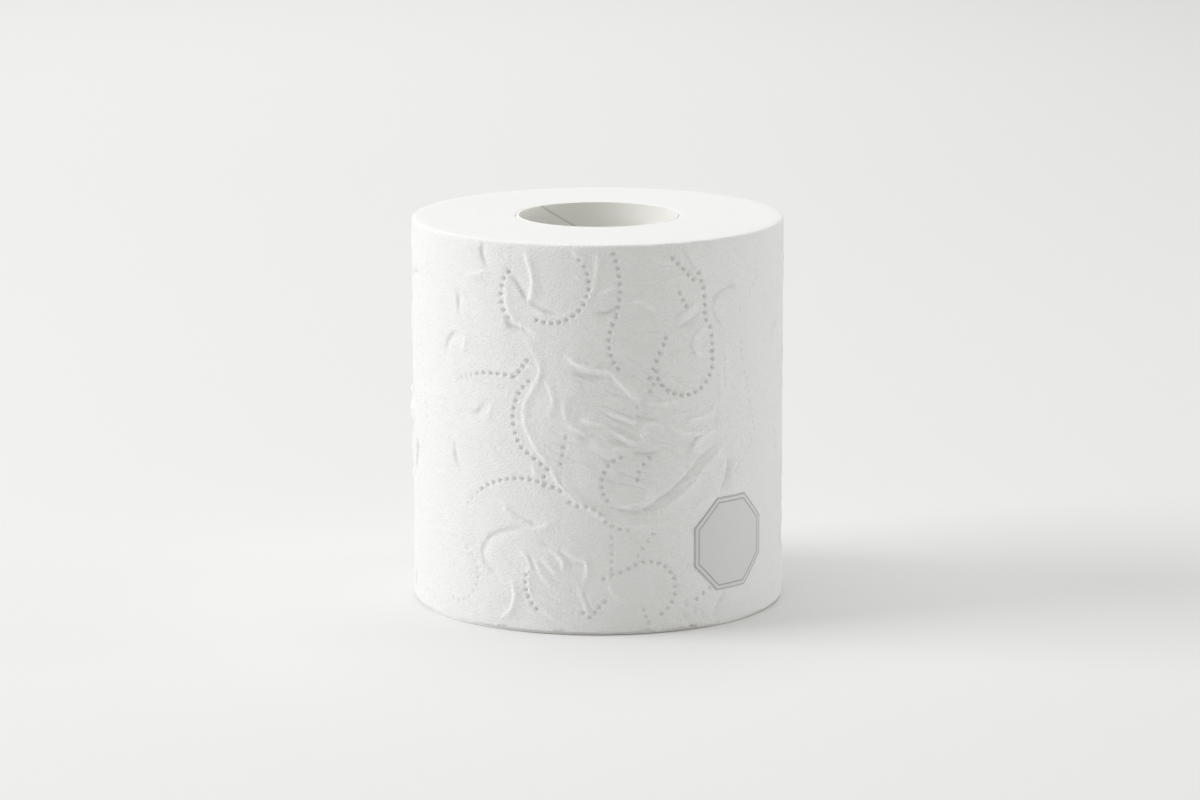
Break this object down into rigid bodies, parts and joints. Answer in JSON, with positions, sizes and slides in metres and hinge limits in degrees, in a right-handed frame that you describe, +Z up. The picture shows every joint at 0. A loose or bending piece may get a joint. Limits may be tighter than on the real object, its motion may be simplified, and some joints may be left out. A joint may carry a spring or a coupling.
{
  "type": "toilet paper roll",
  "caption": "Roll of embossed toilet tissue wound on a card core, standing on its end, with an eight-sided paper seal on the wall.",
  "frame": {"origin": "on the roll's axis, in the plane of the end it stands on", "axes": "+Z up along the axis of the core, -Y towards the viewer of the picture, +X to the viewer's right"},
  "size_m": [0.0978, 0.098, 0.102],
  "materials": {
    "tissue": "soft matt white tissue, embossed with dotted scrolls",
    "card": "matt pale grey card",
    "seal": "satin pale grey sticker with a double border"
  },
  "bodies": {
    "root": {"tissue_roll": "tissue", "core_tube": "card", "seal_label": "seal"}
  },
  "joints": []
}
